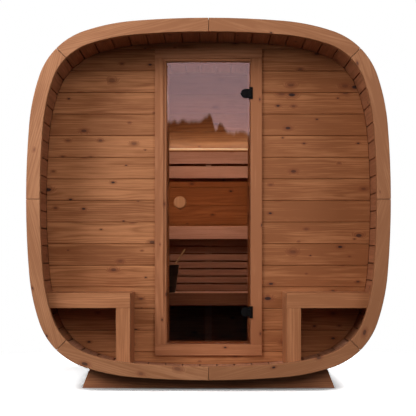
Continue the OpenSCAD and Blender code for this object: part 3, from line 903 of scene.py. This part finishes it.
plain = add(tree, "BsdfDiffuse", {"Color": blend(tree, ray.outputs["Is Camera Ray"], unseen, pale)})
place = add(tree, "TexCoord").outputs["Object"]
away = add(tree, "VectorMath", {0: place}, operation="LENGTH").outputs["Value"]
far_off = ramp(tree, away, WHITE_FROM, WHITE_BY, smooth=True)
far_off = maths(tree, "MULTIPLY", far_off, ray.outputs["Is Camera Ray"])
bright = add(tree, "Emission", {"Color": (1, 1, 1, 1), "Strength": 1.0})
both = add(tree, "MixShader", {0: far_off, 1: plain.outputs[0], 2: bright.outputs[0]})
tree.links.new(both.outputs[0], tree.nodes["Material Output"].inputs["Surface"])
floor_mesh.materials.append(material)
print("floor white from", WHITE_BY, "m on")

# %% [markdown]
# ## The sky in the glass
# The door mirrors an evening sky over a line of trees, which is what makes it read as glass. The
# trees are a height for each direction: a slope that drops to the right, noise for the crowns and
# two taller trees. Above that line is the clearing. It fades out high up and at both sides, so that
# only what faces the door sees it.

# %% Treetops and clearing
world = bpy.data.worlds.new("studio_sky")
bpy.context.scene.world = world
world.use_nodes = True
tree = world.node_tree
way = add(tree, "SeparateXYZ", {0: add(tree, "TexCoord").outputs["Generated"]})
forward = maths(tree, "MAXIMUM", maths(tree, "MULTIPLY", way.outputs[1], -1.0), 0.02)
rise = maths(tree, "DIVIDE", way.outputs[2], forward)
aside = maths(tree, "DIVIDE", way.outputs[0], forward)
crowns = add(tree, "TexNoise", {"W": maths(tree, "MULTIPLY", aside, 150.0), "Scale": 1.0, "Detail": 3.0},
             noise_dimensions="1D").outputs["Fac"]
slope = ramp(tree, aside, 0.0025, 0.0075, 0.1202, 0.1102, smooth=True)
treetops = maths(tree, "MULTIPLY_ADD", crowns, 0.013, slope)
for middle, taller in ((-0.0012, 0.0062), (0.0118, 0.0066)):
    crown = maths(tree, "ABSOLUTE", maths(tree, "SUBTRACT", aside, middle))
    crown = ramp(tree, crown, 0.0008, 0.0066, taller, 0.0, smooth=True)
    treetops = maths(tree, "ADD", treetops, crown)
clearing = ramp(tree, maths(tree, "SUBTRACT", rise, treetops), -0.003, 0.003, smooth=True)
for value, near, far in ((rise, 0.3, 0.5), (maths(tree, "ABSOLUTE", aside), 0.10, 0.20)):
    clearing = maths(tree, "MULTIPLY", clearing, ramp(tree, value, near, far, 1.0, 0.0))
print("trees stand about 7 degrees high")

# %% [markdown]
# ## The sky for other rays
# The camera itself sees plain white, and so does a ray that goes through the glass towards the
# back. Soft light from everywhere fills the shadows. Only gloss and glass see the evening sky.

# %% Sky
SKY_FILL = 0.12
EVENING = (1.38, 0.96, 1.08)
ray = add(tree, "LightPath")
overhead = ramp(tree, way.outputs[2], 0.35, 0.6, 0.0, 0.3)
mirrored = maths(tree, "MULTIPLY_ADD", clearing, 2.1, overhead)
behind = maths(tree, "GREATER_THAN", way.outputs[1], 0.0)
through = either(tree, behind, mirrored, 1.0)
strength = either(tree, ray.outputs["Is Glossy Ray"], SKY_FILL, mirrored)
strength = either(tree, ray.outputs["Is Transmission Ray"], strength, through)
strength = either(tree, ray.outputs["Is Camera Ray"], strength, 1.0)
tree.links.new(strength, tree.nodes["Background"].inputs["Strength"])
evening = maths(tree, "MULTIPLY", clearing, maths(tree, "SUBTRACT", 1.0, ray.outputs["Is Camera Ray"]))
tint = blend(tree, evening, (1.0, 1.0, 1.0), EVENING)
tree.links.new(tint, tree.nodes["Background"].inputs["Color"])
print("sky fills with", SKY_FILL)

# %% [markdown]
# ## Lamps round the sauna
# Two large soft lamps high on the left give the front its direction, one in front and one on the
# right open the shadows, and one behind lights the back. The front one would show in the glass, so
# it is left out of reflections.

# %% Lamps
def soft_lamp(name, place, target, size, power, colour=(1, 1, 1), narrow=None, spread=180,
              mirrored=True):
    """narrow: the width of a lamp that is a strip, size being its length."""
    lamp = bpy.data.lights.new(name, "AREA")
    lamp.shape = "RECTANGLE" if narrow else "DISK"
    lamp.size = size
    if narrow:
        lamp.size_y = narrow
    lamp.energy = power
    lamp.color = colour
    lamp.spread = math.radians(spread)
    holder = bpy.data.objects.new(name, lamp)
    holder.location = place
    holder.rotation_euler = (Vector(target) - Vector(place)).to_track_quat("-Z", "Y").to_euler()
    holder.visible_camera = False
    holder.visible_glossy = mirrored
    holder.visible_transmission = mirrored
    bpy.context.scene.collection.objects.link(holder)
    print(name, power, "W")


PORCH = (0, -0.4, 1.0)
soft_lamp("left_lamp", (-2.5, -3.6, 2.6), PORCH, 2.0, 80)
soft_lamp("far_left_lamp", (-5.0, -3.5, 3.5), PORCH, 2.5, 80)
soft_lamp("front_lamp", (-0.3, -6.7, 3.0), PORCH, 3.0, 97, mirrored=False)
soft_lamp("right_lamp", (3.5, -5.0, 3.5), PORCH, 3.0, 96)
soft_lamp("rear_lamp", (3.0, 6.5, 4.0), (0, 0.6, 1.0), 3.0, 380)

# %% [markdown]
# ## Lamps inside the room
# The tinted glass lets little light in, so a small lamp by the door lights the benches. A thin one
# over the strip carries the strip's glow up the back wall. The wood there is very red, and the
# lamp's cool colour makes up for that.

# %% Lamps inside the room
soft_lamp("room_lamp", (0, -0.22, 1.68), (0, 0.5, 0.96), 0.5, 5.0, narrow=0.1, spread=125,
          mirrored=False)
strip_low, strip_high = (Vector(corner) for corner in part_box("light_strip"))
wash = Vector((0, strip_high.y - 0.040, strip_high.z + 0.005))
soft_lamp("strip_wash", wash, wash + Vector((0, 0.5, 0.85)), 1.0, 1.0, (0.5, 0.8, 1.1), narrow=0.01,
          mirrored=False)

# %% [markdown]
# ## Colour and the finish
# The colours are shown as they are, without a film look.

# %% Finish
bpy.context.scene.view_settings.view_transform = "Standard"
